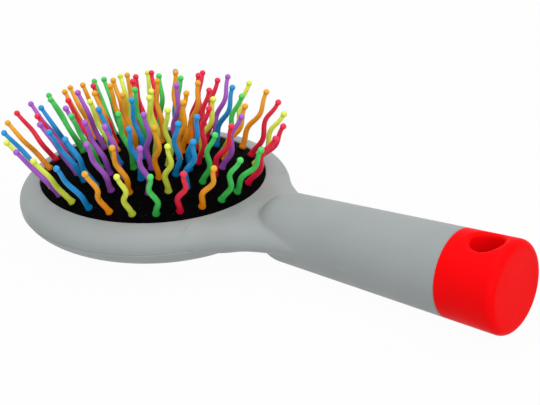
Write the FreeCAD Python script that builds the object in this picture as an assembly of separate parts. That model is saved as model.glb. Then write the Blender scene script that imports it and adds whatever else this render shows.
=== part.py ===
import FreeCAD, Part
import math
import os

# Oval cushion hairbrush with waved, ball-tipped bristles, a round hollow handle
# with a push-in end cap, and a mirror in the back of the head.
# The brush lies on its back: the origin is the middle of the mirror's face, flush
# with its rim at z = 0, and +X runs to the handle's end. All sizes are millimetres.

V = FreeCAD.Vector
X_AXIS = V(1, 0, 0)
Y_AXIS = V(0, 1, 0)

# Cushion: a domed rubber membrane with a flange under the window's lip
PAD_HALF_LENGTH = 42.0
PAD_HALF_WIDTH = 33.7
PAD_EDGE_Z = 17.0
PAD_CROWN = 7.0
PAD_WALL = 1.8
PAD_SIDE_WALL = 2.0
FLANGE_WIDTH = 3.0
FLANGE_THICKNESS = 2.0
PAD_CLEARANCE = 0.15

# Head: an oval body, widest a little below the window
RIM_END_WIDTH = 7.4
RIM_SIDE_WIDTH = 8.4
RIM_CREST = 0.45
WIDEST_BELOW_EDGE = 5.5
LIP_FLAT = 0.5
LIP_THICKNESS = 2.0
HEAD_WALL = 2.2

# Back cover: the bowl below the parting line
BACK_INSET = 8.0
TONGUE_WIDTH = 1.2
TONGUE_HEIGHT = 1.5
TONGUE_CLEARANCE = 0.1
SUPPORT_RIB_WIDTH = 2.2

# Clamp ring, as wide as the cushion's flange, which it holds up against the lip
CLAMP_RING_HEIGHT = 2.5

# Mirror, bonded in a raised oval rim on the back cover
MIRROR_RIM_HEIGHT = 2.0
MIRROR_RIM_WALL = 2.0
MIRROR_RIM_ROUND = 0.7
GLASS_THICKNESS = 1.8
GLASS_CLEARANCE = 0.15
ADHESIVE_THICKNESS = 0.5
ADHESIVE_MARGIN = 2.5

# Handle: a round tube that swells towards its end, with a domed nose at the head
NOSE_SETBACK = 11.2
NOSE_RADIUS = 11.0
HANDLE_LENGTH = 78.4
HANDLE_END_RADIUS = 13.6
HANDLE_WALL = 2.4
HANDLE_RISE_DEG = 1.2
BORE_SETBACK = 5.4

# Neck: a round-edged web that widens from the handle's sides into the head
NECK_REACH = 14.4
NECK_ROOT_DEPTH = 19.4
NECK_SHOULDER_DEPTH = 11.4
NECK_THICKNESS = 10.4
NECK_ROUND = 5.0
NECK_BELOW_EDGE = 5.0
NECK_SIDE_INSET = 0.2

# End cap with its plug and the hole for hanging the brush up
CAP_LENGTH = 18.5
CAP_END_ROUND = 2.4
PLUG_LENGTH = 12.0
PLUG_CLEARANCE = 0.05
HANG_HOLE_RADIUS = 4.7
HANG_HOLE_FROM_END = 8.8
HANG_HOLE_ROUND = 0.6

# One bristle: bulb under the cushion, shank through it, waved shaft, ball tip
BRISTLE_LENGTH = 21.7
SHAFT_RADIUS = 0.95
FLARE_RADIUS = 1.3
FLARE_HEIGHT = 1.8
NECK_TIP_RADIUS = 0.68
BALL_RADIUS = 1.03
SHANK_RADIUS = 0.8
SHANK_CLEARANCE = 0.1
BULB_RADIUS = 1.4
BULB_CLEARANCE = 0.35
COLLAR_GAP = 0.7
WAVE_HEIGHT = 1.1
SHAFT_SECTIONS = 17
SLOPE_STEP = 0.01

# Bristle field: rings of the cushion's own oval, leaning outwards
LEAN_AT_FREE_END = 0.90
LEAN_AT_HANDLE = 0.80
LEAN_AT_SIDE = 0.61
WAVE_TURN_AT_HANDLE_DEG = 43.0
WAVE_TURN_AT_FREE_END_DEG = -47.0
# group, share of the cushion's oval, first bristle's angle, colours in turn,
# in small letters where the bristle is set in the other way round
RINGS = [
    ("outer", 0.905, -110.4, "PyBoyGroGgRrYRoYpRbYyGoGpRoBy"),
    ("second", 0.654, -65.9, "OPybGrPoGbRrOrOgOoGbRpBbP"),
    ("third", 0.457, -96.7, "PpBoBbRyRoGgRoRpRpG"),
    ("centre", 0.297, -75.2, "GpYoOpOrOoYb"),
    ("centre", 0.093, 68.3, "YGOBY"),
]
COLOURS = {"R": "red", "O": "orange", "Y": "yellow", "G": "green", "B": "blue", "P": "purple"}

# How finely round sides are lofted, and how closely an edge is told by its box
ROUND_SECTIONS = 6
EDGE_TOLERANCE = 0.05

# Places that follow from the sizes above
RIM_TOP_Z = PAD_EDGE_Z + RIM_CREST
WIDEST_Z = PAD_EDGE_Z - WIDEST_BELOW_EDGE
LIP_Z = PAD_EDGE_Z - LIP_THICKNESS
FLANGE_Z = LIP_Z - FLANGE_THICKNESS
PARTING_Z = FLANGE_Z - CLAMP_RING_HEIGHT
BACK_Z = MIRROR_RIM_HEIGHT
POCKET_TOP_Z = GLASS_THICKNESS + ADHESIVE_THICKNESS
FLOOR_Z = POCKET_TOP_Z + HEAD_WALL
CAVITY_OFFSET = FLANGE_WIDTH + PAD_CLEARANCE
HEAD_END_X = PAD_HALF_LENGTH + RIM_END_WIDTH
HEAD_SIDE_Y = PAD_HALF_WIDTH + RIM_SIDE_WIDTH
NOSE_CENTRE_X = HEAD_END_X + NOSE_SETBACK
BORE_START_X = NOSE_CENTRE_X + BORE_SETBACK
NECK_END_X = NOSE_CENTRE_X + NECK_REACH
NECK_SHOULDER_X = HEAD_END_X - NECK_SHOULDER_DEPTH
NECK_ROOT_X = HEAD_END_X - NECK_ROOT_DEPTH
HANDLE_END_X = NOSE_CENTRE_X + HANDLE_LENGTH
CAP_SEAM_X = HANDLE_END_X - CAP_LENGTH
HANG_HOLE_X = HANDLE_END_X - HANG_HOLE_FROM_END
HANDLE_AXIS_Z = HANDLE_END_RADIUS - HANDLE_END_X * math.tan(math.radians(HANDLE_RISE_DEG))
DOME_RADIUS = (PAD_HALF_WIDTH ** 2 + PAD_CROWN ** 2) / (2 * PAD_CROWN)

# The highest value of sin * (1 - cos), which the bristles' wave follows
WAVE_PEAK = 0.75 * math.sqrt(3)
PAD_STRETCH = PAD_HALF_LENGTH / PAD_HALF_WIDTH


def oval_wire(half_length, half_width, z):
    """A level ellipse about the head's middle."""
    return Part.Wire(Part.Ellipse(V(0, 0, z), half_length, half_width).toShape())


def oval_block(half_length, half_width, z_low, z_high):
    """An upright oval of a given half length and half width."""
    wire = oval_wire(half_length, half_width, z_low)
    return Part.Face(wire).extrude(V(0, 0, z_high - z_low))


def oval_prism(offset, z_low, z_high):
    """An upright oval, set out from the cushion's edge by offset."""
    return oval_block(PAD_HALF_LENGTH + offset, PAD_HALF_WIDTH + offset, z_low, z_high)


def oval_ring(outer_offset, inner_offset, z_low, z_high):
    """An upright oval ring between two offsets from the cushion's edge."""
    return oval_prism(outer_offset, z_low, z_high).cut(oval_prism(inner_offset, z_low, z_high))


def bowl_wire(angle, floor_z, wall):
    """The bowl's oval at one angle of its quarter-round side, walls taken off."""
    reach = math.cos(angle)
    z = WIDEST_Z - (WIDEST_Z - floor_z) * math.sin(angle)
    half_length = PAD_HALF_LENGTH - BACK_INSET + (RIM_END_WIDTH + BACK_INSET - wall) * reach
    half_width = PAD_HALF_WIDTH - BACK_INSET + (RIM_SIDE_WIDTH + BACK_INSET - wall) * reach
    return oval_wire(half_length, half_width, z)


def rim_wire(angle):
    """The rim's oval at one angle of its quarter-round upper side."""
    reach = math.cos(angle)
    z = WIDEST_Z + (RIM_TOP_Z - WIDEST_Z) * math.sin(angle)
    return oval_wire(PAD_HALF_LENGTH + RIM_END_WIDTH * reach, PAD_HALF_WIDTH + RIM_SIDE_WIDTH * reach, z)


def head_solid():
    """The whole oval head: quarter-round bowl below, quarter-round rim above."""
    shares = [i / ROUND_SECTIONS for i in range(ROUND_SECTIONS + 1)]
    top_angle = math.acos(LIP_FLAT / RIM_END_WIDTH)
    wires = [bowl_wire(math.pi / 2 * (1 - share), BACK_Z, 0) for share in shares[:-1]]
    wires += [rim_wire(top_angle * share) for share in shares]
    return Part.makeLoft(wires, True, False)


def bowl_space():
    """The air space inside the back cover."""
    shares = [i / ROUND_SECTIONS for i in range(ROUND_SECTIONS + 1)]
    wires = [bowl_wire(math.pi / 2 * (1 - share), FLOOR_Z, HEAD_WALL) for share in shares]
    bowl = Part.makeLoft(wires, True, False)
    mouth = oval_block(HEAD_END_X - HEAD_WALL, HEAD_SIDE_Y - HEAD_WALL, WIDEST_Z, RIM_TOP_Z)
    return bowl.fuse(mouth)


def below_parting():
    """A block under the parting plane that covers the head's oval."""
    reach = 2 * PAD_HALF_LENGTH
    return Part.makeBox(2 * reach, 2 * reach, PARTING_Z + reach, V(-reach, -reach, -reach))


def handle_radius(x):
    """The handle's outside radius at a distance along its axis."""
    share = (x - NOSE_CENTRE_X) / (HANDLE_END_X - NOSE_CENTRE_X)
    return NOSE_RADIUS + (HANDLE_END_RADIUS - NOSE_RADIUS) * share


def set_on_handle_axis(shape):
    """Lifts a shape turned about the X axis onto the handle's rising axis."""
    shape.rotate(V(0, 0, 0), Y_AXIS, -HANDLE_RISE_DEG)
    shape.translate(V(0, 0, HANDLE_AXIS_Z))
    return shape


def turned(points):
    """A solid turned about the X axis from straight profile points (x, radius)."""
    corners = [V(x, 0, r) for x, r in points]
    face = Part.Face(Part.makePolygon(corners + corners[:1]))
    return face.revolve(V(0, 0, 0), X_AXIS, 360)


def cone_between(x_start, x_end, inset):
    """A length of the handle's cone, inset from its outside."""
    profile = [
        (x_start, 0),
        (x_start, handle_radius(x_start) - inset),
        (x_end, handle_radius(x_end) - inset),
        (x_end, 0),
    ]
    return turned(profile)


def handle_solid():
    """The handle's outside, from its domed nose to the cap's seam."""
    nose = Part.makeSphere(NOSE_RADIUS, V(NOSE_CENTRE_X, 0, 0))
    tube = cone_between(NOSE_CENTRE_X, CAP_SEAM_X, 0)
    return set_on_handle_axis(nose.fuse(tube).removeSplitter())


def neck_solid():
    """A round-edged web with hollow flanks between head and handle."""
    z_low = PAD_EDGE_Z - NECK_BELOW_EDGE - NECK_THICKNESS / 2
    end_y = handle_radius(NECK_END_X) - NECK_SIDE_INSET
    shoulder_y = HEAD_SIDE_Y * math.sqrt(1 - (NECK_SHOULDER_X / HEAD_END_X) ** 2) - NECK_SIDE_INSET
    run = NECK_END_X - NECK_SHOULDER_X
    rise = shoulder_y - end_y
    flank_radius = (run ** 2 + rise ** 2) / (2 * rise)
    half_turn = math.asin(run / flank_radius) / 2
    middle_x = NECK_END_X - flank_radius * math.sin(half_turn)
    middle_y = end_y + flank_radius * (1 - math.cos(half_turn))

    def at(x, y):
        return V(x, y, z_low)

    edges = [
        Part.LineSegment(at(NECK_ROOT_X, -shoulder_y), at(NECK_SHOULDER_X, -shoulder_y)),
        Part.Arc(at(NECK_SHOULDER_X, -shoulder_y), at(middle_x, -middle_y), at(NECK_END_X, -end_y)),
        Part.LineSegment(at(NECK_END_X, -end_y), at(NECK_END_X, end_y)),
        Part.Arc(at(NECK_END_X, end_y), at(middle_x, middle_y), at(NECK_SHOULDER_X, shoulder_y)),
        Part.LineSegment(at(NECK_SHOULDER_X, shoulder_y), at(NECK_ROOT_X, shoulder_y)),
        Part.LineSegment(at(NECK_ROOT_X, shoulder_y), at(NECK_ROOT_X, -shoulder_y)),
    ]
    outline = Part.Wire([edge.toShape() for edge in edges])
    plate = Part.Face(outline).extrude(V(0, 0, NECK_THICKNESS))
    sides = [edge for edge in plate.Edges if edge.BoundBox.ZLength < EDGE_TOLERANCE
             and edge.BoundBox.XLength > EDGE_TOLERANCE]
    return plate.makeFillet(NECK_ROUND, sides)


def tongue_ring(clearance):
    """The tongue on the back cover's edge, or its groove when widened by a clearance."""
    middle = (CAVITY_OFFSET + RIM_END_WIDTH) / 2
    reach = TONGUE_WIDTH / 2 + clearance
    return oval_ring(middle + reach, middle - reach, PARTING_Z, PARTING_Z + TONGUE_HEIGHT + clearance)


def body_shell():
    """Front of the head, neck and handle in one moulding."""
    head = head_solid()
    shell = head.fuse([neck_solid(), handle_solid()])
    shell = shell.cut(head.common(below_parting()))
    shell = shell.cut(oval_prism(CAVITY_OFFSET, PARTING_Z, LIP_Z))
    shell = shell.cut(oval_prism(0, LIP_Z, RIM_TOP_Z + LIP_THICKNESS))
    shell = shell.cut(tongue_ring(TONGUE_CLEARANCE))
    bore = set_on_handle_axis(cone_between(BORE_START_X, CAP_SEAM_X, HANDLE_WALL))
    shell = shell.cut(bore)
    return shell


def back_cover():
    """The bowl behind the cushion, with the mirror's rim on its back."""
    outside = head_solid().common(below_parting())
    rim = oval_prism(-BACK_INSET, 0, FLOOR_Z)
    low_edges = [edge for edge in rim.Edges if edge.BoundBox.ZMax < MIRROR_RIM_ROUND]
    rim = rim.makeFillet(MIRROR_RIM_ROUND, low_edges)
    rib = oval_ring(SUPPORT_RIB_WIDTH + PAD_CLEARANCE, PAD_CLEARANCE, BACK_Z, PARTING_Z)
    cover = outside.fuse(rim).cut(bowl_space())
    cover = cover.fuse([rib.common(outside), tongue_ring(0)])
    pocket = oval_prism(-BACK_INSET - MIRROR_RIM_WALL, 0, POCKET_TOP_Z)
    return cover.cut(pocket)


def clamp_ring():
    """The oval ring that presses the cushion's flange against the lip."""
    return oval_ring(FLANGE_WIDTH, PAD_CLEARANCE, PARTING_Z, FLANGE_Z)


def dome_z(share):
    """Height of the cushion's top over its edge, at a share of its oval."""
    return PAD_CROWN - DOME_RADIUS + math.sqrt(DOME_RADIUS ** 2 - (PAD_HALF_WIDTH * share) ** 2)


def dome_ball(drop):
    """The ball whose cap is the cushion's crown, stretched to its oval.

    It lies on its side, so that its seam runs underneath, clear of the bristles' holes."""
    centre = V(0, 0, PAD_EDGE_Z + PAD_CROWN - DOME_RADIUS - drop)
    ball = Part.makeSphere(DOME_RADIUS, centre)
    ball.rotate(centre, Y_AXIS, 90)
    stretch = FreeCAD.Matrix()
    stretch.scale(V(PAD_STRETCH, 1, 1))
    return ball.transformGeometry(stretch)


def cushion_pad(places):
    """The domed membrane, its flange and a hole for each bristle's shank."""
    top_z = PAD_EDGE_Z + 2 * PAD_CROWN
    crown = oval_prism(-PAD_CLEARANCE, FLANGE_Z, top_z).common(dome_ball(0))
    flange = oval_prism(FLANGE_WIDTH, FLANGE_Z, LIP_Z)
    air = oval_prism(-PAD_SIDE_WALL, FLANGE_Z, top_z).common(dome_ball(PAD_WALL))
    pad = crown.fuse(flange).removeSplitter().cut(air)
    reach = 2 * PAD_WALL
    hole = Part.makeCylinder(SHANK_RADIUS + SHANK_CLEARANCE, 2 * reach, V(0, 0, -reach))
    return pad.cut([placed(hole, place) for place in places])


def mirror_glass():
    """The oval mirror plate."""
    edge = -BACK_INSET - MIRROR_RIM_WALL - GLASS_CLEARANCE
    return oval_prism(edge, 0, GLASS_THICKNESS)


def mirror_adhesive():
    """The oval foam tape that bonds the mirror in its pocket."""
    edge = -BACK_INSET - MIRROR_RIM_WALL - ADHESIVE_MARGIN
    return oval_prism(edge, GLASS_THICKNESS, POCKET_TOP_Z)


def end_cap():
    """The cap, its plug in the handle's bore and the hanging hole."""
    plug = cone_between(CAP_SEAM_X - PLUG_LENGTH, CAP_SEAM_X, HANDLE_WALL + PLUG_CLEARANCE)
    knob = cone_between(CAP_SEAM_X, HANDLE_END_X, 0)
    end_edges = [edge for edge in knob.Edges if edge.BoundBox.XMin > HANDLE_END_X - CAP_END_ROUND
                 and isinstance(edge.Curve, Part.Circle)]
    knob = knob.makeFillet(CAP_END_ROUND, end_edges)
    cap = set_on_handle_axis(knob.fuse(plug).removeSplitter())
    reach = 2 * HANDLE_END_RADIUS
    hole = Part.makeCylinder(HANG_HOLE_RADIUS, 2 * reach, V(HANG_HOLE_X, 0, -reach / 2))
    cap = cap.cut(hole)
    mouth = [edge for edge in cap.Edges if abs(edge.BoundBox.YMax - HANG_HOLE_RADIUS) < EDGE_TOLERANCE
             and abs(edge.BoundBox.XMin - HANG_HOLE_X + HANG_HOLE_RADIUS) < EDGE_TOLERANCE]
    return cap.makeFillet(HANG_HOLE_ROUND, mouth)


def wave_at(height):
    """Sideways place of the bristle's centre line: one swing each way, straight at both ends."""
    turn = 2 * math.pi * height / BRISTLE_LENGTH
    return WAVE_HEIGHT * math.sin(turn) * (1 - math.cos(turn)) / WAVE_PEAK


def shaft_radius_at(height):
    """The shaft's radius: flared at the cushion, necked under the ball."""
    flare = max(0.0, 1 - (height - COLLAR_GAP) / FLARE_HEIGHT)
    taper = height / BRISTLE_LENGTH
    straight = SHAFT_RADIUS + (NECK_TIP_RADIUS - SHAFT_RADIUS) * taper ** 2
    return straight + (FLARE_RADIUS - SHAFT_RADIUS) * flare ** 2


def bristle():
    """One bristle, standing on the cushion's top at the origin."""
    wires = []
    for i in range(SHAFT_SECTIONS):
        height = COLLAR_GAP + (BRISTLE_LENGTH - COLLAR_GAP) * i / (SHAFT_SECTIONS - 1)
        slope = (wave_at(height + SLOPE_STEP) - wave_at(height - SLOPE_STEP)) / (2 * SLOPE_STEP)
        ring = Part.Circle(V(wave_at(height), 0, height), V(slope, 0, 1), shaft_radius_at(height))
        wires.append(Part.Wire(ring.toShape()))
    shaft = Part.makeLoft(wires, True, False)
    ball = Part.makeSphere(BALL_RADIUS, V(wave_at(BRISTLE_LENGTH), 0, BRISTLE_LENGTH))
    bulb_drop = PAD_WALL + BULB_RADIUS + BULB_CLEARANCE
    shank = Part.makeCylinder(SHANK_RADIUS, bulb_drop + 2 * COLLAR_GAP, V(0, 0, -bulb_drop))
    bulb = Part.makeSphere(BULB_RADIUS, V(0, 0, -bulb_drop))
    return shaft.fuse([ball, shank, bulb])


def bristle_place(share, angle_deg, turned_over):
    """Where one bristle stands, which way it leans and which way it waves."""
    along = share * math.cos(math.radians(angle_deg))
    across = share * math.sin(math.radians(angle_deg))
    base = V(PAD_HALF_LENGTH * along, PAD_HALF_WIDTH * across, PAD_EDGE_Z + dome_z(share))
    lean_along = LEAN_AT_HANDLE if along > 0 else LEAN_AT_FREE_END
    up = V(lean_along * along, LEAN_AT_SIDE * across, 1).normalize()
    swing = (1 + along) / 2
    turn = WAVE_TURN_AT_FREE_END_DEG * (1 - swing) + WAVE_TURN_AT_HANDLE_DEG * swing
    turn = math.radians(turn + (180 if turned_over else 0))
    side = V(math.cos(turn), math.sin(turn), 0)
    side = (side - up * side.dot(up)).normalize()
    back = up.cross(side)
    matrix = FreeCAD.Matrix(
        side.x, back.x, up.x, base.x,
        side.y, back.y, up.y, base.y,
        side.z, back.z, up.z, base.z,
        0, 0, 0, 1,
    )
    return FreeCAD.Placement(matrix)


def placed(shape, place):
    """A copy of a shape at a bristle's place."""
    copy = shape.copy()
    copy.Placement = place.multiply(copy.Placement)
    return copy


def bristle_places():
    """Every bristle's node name and place, ring by ring."""
    found = []
    for group, share, first_deg, letters in RINGS:
        for i, letter in enumerate(letters):
            angle = first_deg + 360.0 * i / len(letters)
            name = f"bristles_{group}_{COLOURS[letter.upper()]}"
            found.append((name, bristle_place(share, angle, letter.islower())))
    return found


def bristle_nodes(places):
    """The bristles, gathered into one group of solids for each ring and colour."""
    master = bristle()
    groups = {}
    for name, place in places:
        groups.setdefault(name, []).append(placed(master, place))
    return {name: Part.makeCompound(solids) for name, solids in groups.items()}


def main():
    places = bristle_places()
    nodes = {
        "body_shell": body_shell(),
        "back_cover": back_cover(),
        "clamp_ring": clamp_ring(),
        "cushion_pad": cushion_pad([place for _, place in places]),
        "mirror_glass": mirror_glass(),
        "mirror_adhesive": mirror_adhesive(),
        "end_cap": end_cap(),
    }
    nodes.update(bristle_nodes(places))
    os.makedirs("parts", exist_ok=True)
    for name, shape in nodes.items():
        shape.exportStep(f"parts/{name}.step")
        print(name, len(shape.Solids), round(shape.Volume, 1), shape.isValid())


main()
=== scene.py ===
"""Looks of an oval cushion hairbrush with a mirror in its back, dressed around its CAD frame."""

import math

import bmesh
import bpy
import numpy as np
from bpy.props import FloatProperty, FloatVectorProperty, IntProperty, PointerProperty
from mathutils import Matrix, Vector


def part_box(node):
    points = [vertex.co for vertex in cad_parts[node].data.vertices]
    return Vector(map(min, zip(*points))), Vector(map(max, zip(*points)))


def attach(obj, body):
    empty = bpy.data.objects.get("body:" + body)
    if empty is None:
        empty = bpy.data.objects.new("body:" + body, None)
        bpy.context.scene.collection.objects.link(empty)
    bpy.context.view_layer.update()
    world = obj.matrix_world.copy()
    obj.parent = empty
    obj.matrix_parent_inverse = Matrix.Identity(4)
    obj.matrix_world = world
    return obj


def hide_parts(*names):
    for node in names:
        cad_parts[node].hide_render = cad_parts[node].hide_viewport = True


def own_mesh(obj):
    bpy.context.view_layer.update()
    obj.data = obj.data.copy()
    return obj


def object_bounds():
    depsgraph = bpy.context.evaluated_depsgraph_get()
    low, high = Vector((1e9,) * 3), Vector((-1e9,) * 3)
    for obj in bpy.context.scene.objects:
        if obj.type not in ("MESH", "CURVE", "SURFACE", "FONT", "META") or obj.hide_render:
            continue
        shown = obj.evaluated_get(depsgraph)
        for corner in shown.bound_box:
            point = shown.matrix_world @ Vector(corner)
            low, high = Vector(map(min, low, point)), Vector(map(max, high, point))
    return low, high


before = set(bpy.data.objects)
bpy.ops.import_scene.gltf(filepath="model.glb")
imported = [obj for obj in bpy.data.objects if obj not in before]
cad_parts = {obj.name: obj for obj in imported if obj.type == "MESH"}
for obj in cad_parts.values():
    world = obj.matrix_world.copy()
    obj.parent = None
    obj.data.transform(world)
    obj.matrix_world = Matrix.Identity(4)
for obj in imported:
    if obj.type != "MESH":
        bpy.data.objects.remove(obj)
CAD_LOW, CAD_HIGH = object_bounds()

bl_info = {
    "name": "Cushion hairbrush",
    "version": (1, 0, 0),
    "blender": (4, 5, 0),
    "location": "View3D > Sidebar > Hairbrush",
    "description": "Dresses the frame of an oval cushion hairbrush with a mirror in its back",
    "category": "Object",
}

MM = 0.001
TINY = 1e-9
SLOPE_PROBE = 0.05 * MM

# Boxes of the frame's nodes, which the sizes below start from
PAD_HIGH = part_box("cushion_pad")[1]
RING_LOW, RING_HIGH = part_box("clamp_ring")
SHELL_LOW, SHELL_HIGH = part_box("body_shell")
GLASS_LOW, GLASS_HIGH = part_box("mirror_glass")
TAPE_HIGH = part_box("mirror_adhesive")[1]

# Cushion
FLANGE_WIDTH = 3.0 * MM
FLANGE_THICKNESS = 2.0 * MM
PAD_CLEARANCE = 0.15 * MM
PAD_WALL = 1.8 * MM
PAD_SIDE_WALL = 2.0 * MM
PAD_EDGE_ROUND = 0.6 * MM
PAD_HALF_LENGTH = PAD_HIGH.x - FLANGE_WIDTH
PAD_HALF_WIDTH = PAD_HIGH.y - FLANGE_WIDTH
FLANGE_Z = RING_HIGH.z
LIP_Z = FLANGE_Z + FLANGE_THICKNESS

# Head
LIP_THICKNESS = 2.0 * MM
RIM_CREST = 0.45 * MM
WIDEST_BELOW_EDGE = 5.5 * MM
HEAD_WALL = 2.2 * MM
PAD_EDGE_Z = LIP_Z + LIP_THICKNESS
RIM_TOP_Z = PAD_EDGE_Z + RIM_CREST
WIDEST_Z = PAD_EDGE_Z - WIDEST_BELOW_EDGE
PARTING_Z = RING_LOW.z
HEAD_HALF_LENGTH = -SHELL_LOW.x
HEAD_HALF_WIDTH = SHELL_HIGH.y
CAVITY_OFFSET = FLANGE_WIDTH + PAD_CLEARANCE
PAD_CROWN = PAD_HIGH.z - PAD_EDGE_Z
DOME_RADIUS = (PAD_HALF_WIDTH ** 2 + PAD_CROWN ** 2) / (2 * PAD_CROWN)

# Back cover and mirror
BACK_INSET = 8.0 * MM
BACK_Z = 2.0 * MM
MIRROR_RIM_WALL = 2.0 * MM
MIRROR_RIM_ROUND = 0.7 * MM
SUPPORT_RIB_WIDTH = 2.2 * MM
TONGUE_WIDTH = 1.2 * MM
TONGUE_HEIGHT = 1.5 * MM
TONGUE_CLEARANCE = 0.1 * MM
POCKET_TOP_Z = TAPE_HIGH.z
FLOOR_Z = POCKET_TOP_Z + HEAD_WALL

# Handle, neck and cap
NOSE_SETBACK = 11.2 * MM
NOSE_RADIUS = 11.0 * MM
HANDLE_LENGTH = 78.4 * MM
HANDLE_END_RADIUS = 13.6 * MM
HANDLE_WALL = 2.4 * MM
HANDLE_RISE = math.radians(1.2)
BORE_SETBACK = 5.4 * MM
NECK_REACH = 14.4 * MM
NECK_ROOT_DEPTH = 19.4 * MM
NECK_SHOULDER_DEPTH = 11.4 * MM
NECK_THICKNESS = 10.4 * MM
NECK_BELOW_EDGE = 5.0 * MM
NECK_SIDE_INSET = 0.2 * MM
CAP_LENGTH = 18.5 * MM
CAP_END_ROUND = 2.4 * MM
PLUG_LENGTH = 12.0 * MM
PLUG_CLEARANCE = 0.05 * MM
HANG_HOLE_RADIUS = 4.7 * MM
HANG_HOLE_FROM_END = 8.8 * MM
NOSE_CENTRE_X = HEAD_HALF_LENGTH + NOSE_SETBACK
NECK_END_X = NOSE_CENTRE_X + NECK_REACH
NECK_ROOT_X = HEAD_HALF_LENGTH - NECK_ROOT_DEPTH
NECK_SHOULDER_X = HEAD_HALF_LENGTH - NECK_SHOULDER_DEPTH
NECK_TOP_Z = PAD_EDGE_Z - NECK_BELOW_EDGE + NECK_THICKNESS / 2
HANDLE_END_X = NOSE_CENTRE_X + HANDLE_LENGTH
CAP_SEAM_X = HANDLE_END_X - CAP_LENGTH
HANG_HOLE_X = HANDLE_END_X - HANG_HOLE_FROM_END
HANDLE_AXIS_Z = HANDLE_END_RADIUS - HANDLE_END_X * math.tan(HANDLE_RISE)
HANDLE_SWELL = (HANDLE_END_RADIUS - NOSE_RADIUS) / HANDLE_LENGTH
CUT_SPARE = 1.5 * MM

# Bristle field: rings of the cushion's own oval, leaning outwards
LEAN_AT_FREE_END = 0.90
LEAN_AT_HANDLE = 0.80
LEAN_AT_SIDE = 0.61
WAVE_TURN_AT_HANDLE = math.radians(43.0)
WAVE_TURN_AT_FREE_END = math.radians(-47.0)
# group, share of the cushion's oval, first bristle's angle, colours in turn,
# in small letters where the bristle is set in the other way round
RINGS = [
    ("outer", 0.905, -110.4, "PyBoyGroGgRrYRoYpRbYyGoGpRoBy"),
    ("second", 0.654, -65.9, "OPybGrPoGbRrOrOgOoGbRpBbP"),
    ("third", 0.457, -96.7, "PpBoBbRyRoGgRoRpRpG"),
    ("centre", 0.297, -75.2, "GpYoOpOrOoYb"),
    ("centre", 0.093, 68.3, "YGOBY"),
]
COLOURS = {"R": "red", "O": "orange", "Y": "yellow", "G": "green", "B": "blue", "P": "purple"}


def srgb(red, green, blue):
    """A colour given in screen values from 0 to 255, as linear light."""
    shares = [value / 255 for value in (red, green, blue)]
    return tuple(s / 12.92 if s <= 0.04045 else ((s + 0.055) / 1.055) ** 2.4 for s in shares)


def length_property(name, description, default):
    """A size in metres."""
    return FloatProperty(name=name, description=description, default=default, min=0.0, unit="LENGTH",
                         precision=5)


def colour_property(name, description, default):
    """A surface colour in linear light."""
    return FloatVectorProperty(name=name, description=description, default=default, subtype="COLOR",
                               min=0.0, max=1.0)


class HairbrushForm(bpy.types.PropertyGroup):
    """Sizes of the moulded details and of one bristle."""

    mesh_step: length_property("Mesh step", "Spacing of the moulded skins' points", 0.6 * MM)
    oval_points: IntProperty(name="Oval points", description="Points round each oval", default=224, min=32)
    cushion_points: IntProperty(name="Cushion points", description="Points round the cushion's ovals",
                                default=400, min=32)
    neck_softness: length_property("Neck softness", "Blend between the head and the neck", 10.0 * MM)
    crease_softness: length_property("Crease softness", "Blend round the handle's nose", 1.2 * MM)
    lip_round: length_property("Lip round", "Rounding of the window's edge", 0.45 * MM)
    groove: length_property("Groove", "Chamfer at the parting line and at the cap's seam", 0.3 * MM)
    hole_round: length_property("Hole round", "Softness of the hanging hole's mouth", 1.8 * MM)
    mirror_bevel: length_property("Mirror bevel", "Width of the mirror's ground edge", 1.6 * MM)
    mirror_bevel_drop: length_property("Mirror bevel drop", "Height of the mirror's ground edge", 0.35 * MM)
    collar_height: length_property("Collar height", "Rise of the rubber round each bristle", 0.6 * MM)
    collar_radius: length_property("Collar radius", "Reach of the raised rubber", 2.3 * MM)
    bristle_length: length_property("Bristle length", "Cushion to the middle of the ball", 21.7 * MM)
    shaft_radius: length_property("Shaft radius", "Radius of a bristle's shaft", 0.95 * MM)
    flare_radius: length_property("Flare radius", "Radius at the cushion", 1.3 * MM)
    flare_height: length_property("Flare height", "Height of the flared foot", 1.8 * MM)
    neck_radius: length_property("Neck radius", "Radius under the ball", 0.68 * MM)
    ball_radius: length_property("Ball radius", "Radius of the ball tip", 1.03 * MM)
    shank_radius: length_property("Shank radius", "Radius through the cushion", 0.8 * MM)
    bulb_radius: length_property("Bulb radius", "Radius of the bulb under the cushion", 1.4 * MM)
    bulb_depth: length_property("Bulb depth", "Cushion's top to the middle of the bulb", 3.55 * MM)
    foot_height: length_property("Foot height", "Where the shaft starts above the cushion", 0.7 * MM)
    wave_height: length_property("Wave height", "How far a bristle waves to each side", 1.1 * MM)
    bristle_rings: IntProperty(name="Bristle rings", description="Rings of points along a bristle",
                               default=64, min=24)
    bristle_sides: IntProperty(name="Bristle sides", description="Points round a bristle",
                               default=14, min=6)


class HairbrushFinish(bpy.types.PropertyGroup):
    """Colours of the finishes."""

    shell_grey: colour_property("Shell grey", "Body shell and back cover", srgb(157, 163, 163))
    cap_red: colour_property("Cap red", "End cap", srgb(255, 8, 13))
    cushion_black: colour_property("Cushion black", "Rubber cushion", srgb(4, 3, 4))
    ring_black: colour_property("Ring black", "Clamp ring inside the head", srgb(28, 28, 30))
    mirror_silver: colour_property("Mirror silver", "Mirror plate", srgb(242, 246, 246))
    tape_white: colour_property("Tape white", "Foam tape behind the mirror", srgb(232, 230, 224))
    red: colour_property("Red", "Red bristles", srgb(228, 18, 60))
    orange: colour_property("Orange", "Orange bristles", srgb(252, 153, 8))
    yellow: colour_property("Yellow", "Yellow bristles", srgb(208, 222, 72))
    green: colour_property("Green", "Green bristles", srgb(62, 194, 84))
    blue: colour_property("Blue", "Blue bristles", srgb(4, 138, 203))
    purple: colour_property("Purple", "Purple bristles", srgb(160, 85, 190))


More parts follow.
